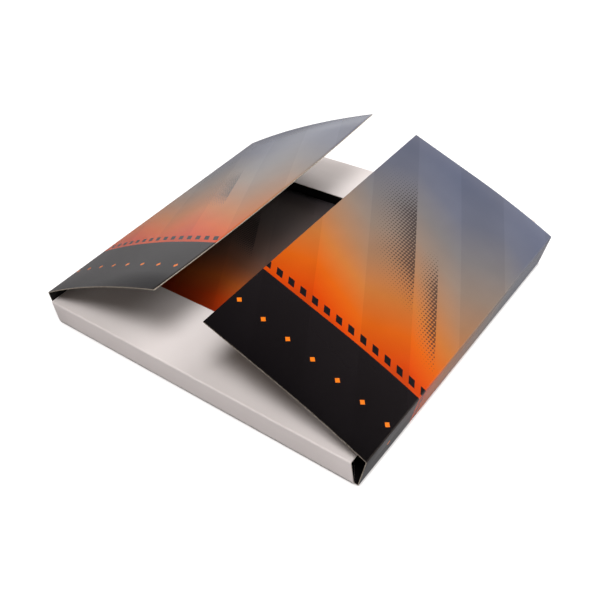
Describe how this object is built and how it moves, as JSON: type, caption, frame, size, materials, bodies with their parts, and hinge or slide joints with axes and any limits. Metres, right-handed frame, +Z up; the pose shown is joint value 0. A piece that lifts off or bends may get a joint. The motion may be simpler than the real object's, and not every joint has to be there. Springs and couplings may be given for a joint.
{
  "type": "presentation box with two hinged doors",
  "caption": "Flat presentation box: a printed card wrap with two door flaps on hinged spines, round a white board platform with a shallow well.",
  "frame": {"origin": "centre of the underside of the wrap's base, between the fold lines of its two spines", "axes": "+Z up from the underside, +X across the two doors from the left one to the right one, +Y along the door folds to the back"},
  "size_m": [0.2508, 0.2269, 0.0792],
  "materials": {
    "wrap_print": "gloss laminated print outside, black inside",
    "white_board": "matt coated white board",
    "black_card": "matt black card",
    "floor_print": "satin printed card"
  },
  "bodies": {
    "box": {"base_panel": "wrap_print", "platform": "white_board", "well_tray": "black_card", "floor_card": "floor_print"},
    "left_spine": {"left_spine": "wrap_print"},
    "left_flap": {"left_flap": "wrap_print"},
    "right_spine": {"right_spine": "wrap_print"},
    "right_flap": {"right_flap": "wrap_print"},
    "back_wall": {"back_wall": "white_board"}
  },
  "joints": [
    {"name": "left_spine_fold", "type": "hinge", "parent": "box", "child": "left_spine", "pos_m": [-0.1217, 0, 0], "axis": [0, -1, 0], "range_deg": [-0.9, 89.1]},
    {"name": "left_flap_fold", "type": "hinge", "parent": "left_spine", "child": "left_flap", "pos_m": [-0.1221, 0, 0.0252], "axis": [0, -1, 0], "range_deg": [-26, 61]},
    {"name": "right_spine_fold", "type": "hinge", "parent": "box", "child": "right_spine", "pos_m": [0.1217, 0, 0], "axis": [0, 1, 0], "range_deg": [-16.2, 73.8]},
    {"name": "right_flap_fold", "type": "hinge", "parent": "right_spine", "child": "right_flap", "pos_m": [0.12873, 0, 0.0242], "axis": [0, 1, 0], "range_deg": [-12.8, 74.7]},
    {"name": "back_wall_fold", "type": "hinge", "parent": "box", "child": "back_wall", "pos_m": [-0.0008, 0.1046, 0.0183], "axis": [-1, 0, 0], "range_deg": [0, 90]}
  ]
}
